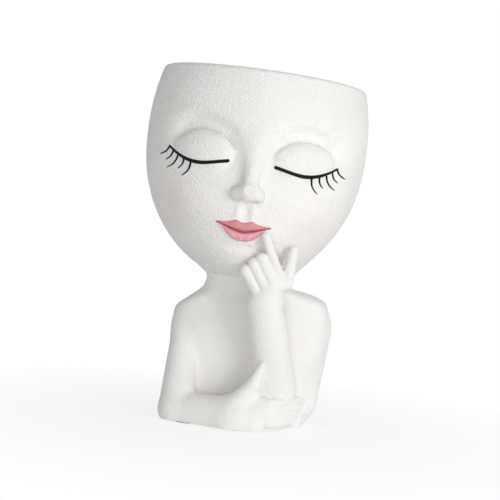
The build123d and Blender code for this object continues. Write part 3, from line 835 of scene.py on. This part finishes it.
def make_head(material):
    """The hollow head, with blush on its cheeks."""
    fields = [bowl, lambda points: -over_seat(points), lambda points: -head_drain(points)]
    points, quads = cast("head_bowl", fields, CELL)
    made = piece("head_skin", points, quads, "head_bowl", "casting", material)
    across, back, height = to_axes(HEAD, points).T
    blush = sum(mound(across, height, place, (BLUSH_RADIUS, BLUSH_RADIUS)) for place in BLUSH_PLACES)
    mark(made, "stipple", np.ones(len(points)))
    mark(made, "blush", BLUSH_SHARE * blush * (back < 0) * (face(points) < 1.0))


def make_bust(material):
    """The bust and both forearms, split where each is nearest."""
    castings = (
        ("bust_skin", "bust", CELL, [figure, over_seat, under_foot, not_bust, in_bust_drain]),
        ("raised_arm_skin", "raised_forearm", FINE_CELL, [figure, not_raised, in_face]),
        ("folded_arm_skin", "folded_forearm", FINE_CELL, [figure, not_folded, under_foot]),
    )
    for name, node, cell, fields in castings:
        piece(name, *cast(node, fields, cell), node, "casting", material)


def white_floor():
    """White floor that fades into the background and keeps the object's shadow."""
    mesh = bpy.data.meshes.new("floor")
    far = FLOOR_HALF
    mesh.from_pydata([(-far, -far, 0), (far, -far, 0), (far, far, 0), (-far, far, 0)], [], [(0, 1, 2, 3)])
    floor = bpy.data.objects.new("floor", mesh)
    bpy.context.scene.collection.objects.link(floor)
    nodes = Nodes("floor_white")
    nodes.shader.inputs["Base Color"].default_value = (0.96, 0.96, 0.96, 1)
    nodes.shader.inputs["Roughness"].default_value = 0.9
    glow = nodes.add("ShaderNodeEmission", {"Color": (1, 1, 1, 1), "Strength": 1.0})
    path = nodes.add("ShaderNodeLightPath")
    seen = nodes.add("ShaderNodeMath", {0: path.outputs["Is Camera Ray"], 1: path.outputs["Is Glossy Ray"]},
                     operation="MAXIMUM")
    seen = nodes.add("ShaderNodeMath", {0: seen.outputs[0], 1: path.outputs["Is Transmission Ray"]},
                     operation="MAXIMUM")
    place = nodes.add("ShaderNodeTexCoord").outputs["Object"]
    apart = nodes.add("ShaderNodeVectorMath", {0: place}, operation="LENGTH").outputs["Value"]
    fade = nodes.ramp(apart, *FLOOR_FADE)
    share = nodes.add("ShaderNodeMath", {0: seen.outputs[0], 1: fade}, operation="MULTIPLY")
    share = nodes.add("ShaderNodeMath", {0: share.outputs[0], 1: FLOOR_GLOW}, operation="MAXIMUM")
    links = {0: share.outputs[0], 1: nodes.shader.outputs[0], 2: glow.outputs[0]}
    mixed = nodes.add("ShaderNodeMixShader", links)
    nodes.tree.links.new(mixed.outputs[0], nodes.tree.nodes["Material Output"].inputs["Surface"])
    mesh.materials.append(nodes.material)


def surround():
    """White surround that lights the object like a tent, brighter to the right and low down."""
    world = bpy.data.worlds.new("surround")
    bpy.context.scene.world = world
    world.use_nodes = True
    tree = world.node_tree
    path = tree.nodes.new("ShaderNodeLightPath")
    seen = tree.nodes.new("ShaderNodeMath")
    seen.operation = "MAXIMUM"
    tree.links.new(path.outputs["Is Camera Ray"], seen.inputs[0])
    tree.links.new(path.outputs["Is Glossy Ray"], seen.inputs[1])
    clear = tree.nodes.new("ShaderNodeMath")
    clear.operation = "MAXIMUM"
    tree.links.new(seen.outputs[0], clear.inputs[0])
    tree.links.new(path.outputs["Is Transmission Ray"], clear.inputs[1])
    way = tree.nodes.new("ShaderNodeSeparateXYZ")
    tree.links.new(tree.nodes.new("ShaderNodeTexCoord").outputs["Generated"], way.inputs[0])
    away = tree.nodes.new("ShaderNodeMath")
    away.operation = "MULTIPLY_ADD"
    tree.links.new(way.outputs["X"], away.inputs[0])
    away.inputs[1].default_value = TENT_LEAN
    tree.links.new(way.outputs["Z"], away.inputs[2])
    dome = tree.nodes.new("ShaderNodeMapRange")
    for socket, value in TENT_LEVELS:
        dome.inputs[socket].default_value = value
    tree.links.new(away.outputs[0], dome.inputs["Value"])
    level = tree.nodes.new("ShaderNodeMapRange")
    tree.links.new(dome.outputs["Result"], level.inputs["To Min"])
    tree.links.new(clear.outputs[0], level.inputs["Value"])
    tree.links.new(level.outputs["Result"], tree.nodes["Background"].inputs["Strength"])
    tree.nodes["Background"].inputs["Color"].default_value = (1, 1, 1, 1)


def lamp(name, place, size, power):
    """A square soft light aimed at the middle of the object."""
    light = bpy.data.lights.new(name, "AREA")
    light.size, light.energy = size, power
    holder = bpy.data.objects.new(name, light)
    bpy.context.scene.collection.objects.link(holder)
    holder.location = place
    aim = Vector(LAMP_AIM) - Vector(place)
    holder.rotation_mode = "QUATERNION"
    holder.rotation_quaternion = aim.to_track_quat("-Z", "Y")


def photo_camera():
    """The photograph's view: nearly level, a little from the right, with the picture turned slightly."""
    azimuth, elevation, roll = radians(1.0), radians(1.7), radians(5.0)
    distance, focal_pixels, picture = 0.76, 1267.0, 500.0
    target = Vector((1.5, 4.0, 103.0)) * MM
    back = Vector((sin(azimuth) * cos(elevation), -cos(azimuth) * cos(elevation), sin(elevation)))
    right = Vector((cos(azimuth), sin(azimuth), 0))
    up = back.cross(right)
    across = cos(roll) * right + sin(roll) * up
    upright = -sin(roll) * right + cos(roll) * up
    camera = bpy.data.cameras.new("camera")
    camera.sensor_width = 36.0
    camera.lens = focal_pixels / picture * camera.sensor_width
    camera.clip_start = 0.01
    holder = bpy.data.objects.new("camera", camera)
    bpy.context.scene.collection.objects.link(holder)
    place = Matrix((across, upright, back)).transposed().to_4x4()
    place.translation = target + back * distance
    holder.matrix_world = place
    bpy.context.scene.camera = holder


def main():
    """Dresses the frame."""
    skin_material = plaster()
    make_head(skin_material)
    make_bust(skin_material)
    make_lips(lip_paint())
    paint = lash_paint()
    make_lashes("lashes_right", "lash_line_right", -1, paint)
    make_lashes("lashes_left", "lash_line_left", 1, paint)
    for node, material in (("drain_plug", silicone()), ("foot_pads", pad_rubber())):
        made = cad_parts[node]
        made.data.materials.clear()
        made.data.materials.append(material)
    white_floor()
    surround()
    lamp("key", *KEY_LAMP)
    lamp("fill", *FILL_LAMP)
    photo_camera()
    bpy.context.scene.view_settings.view_transform = "Standard"


main()
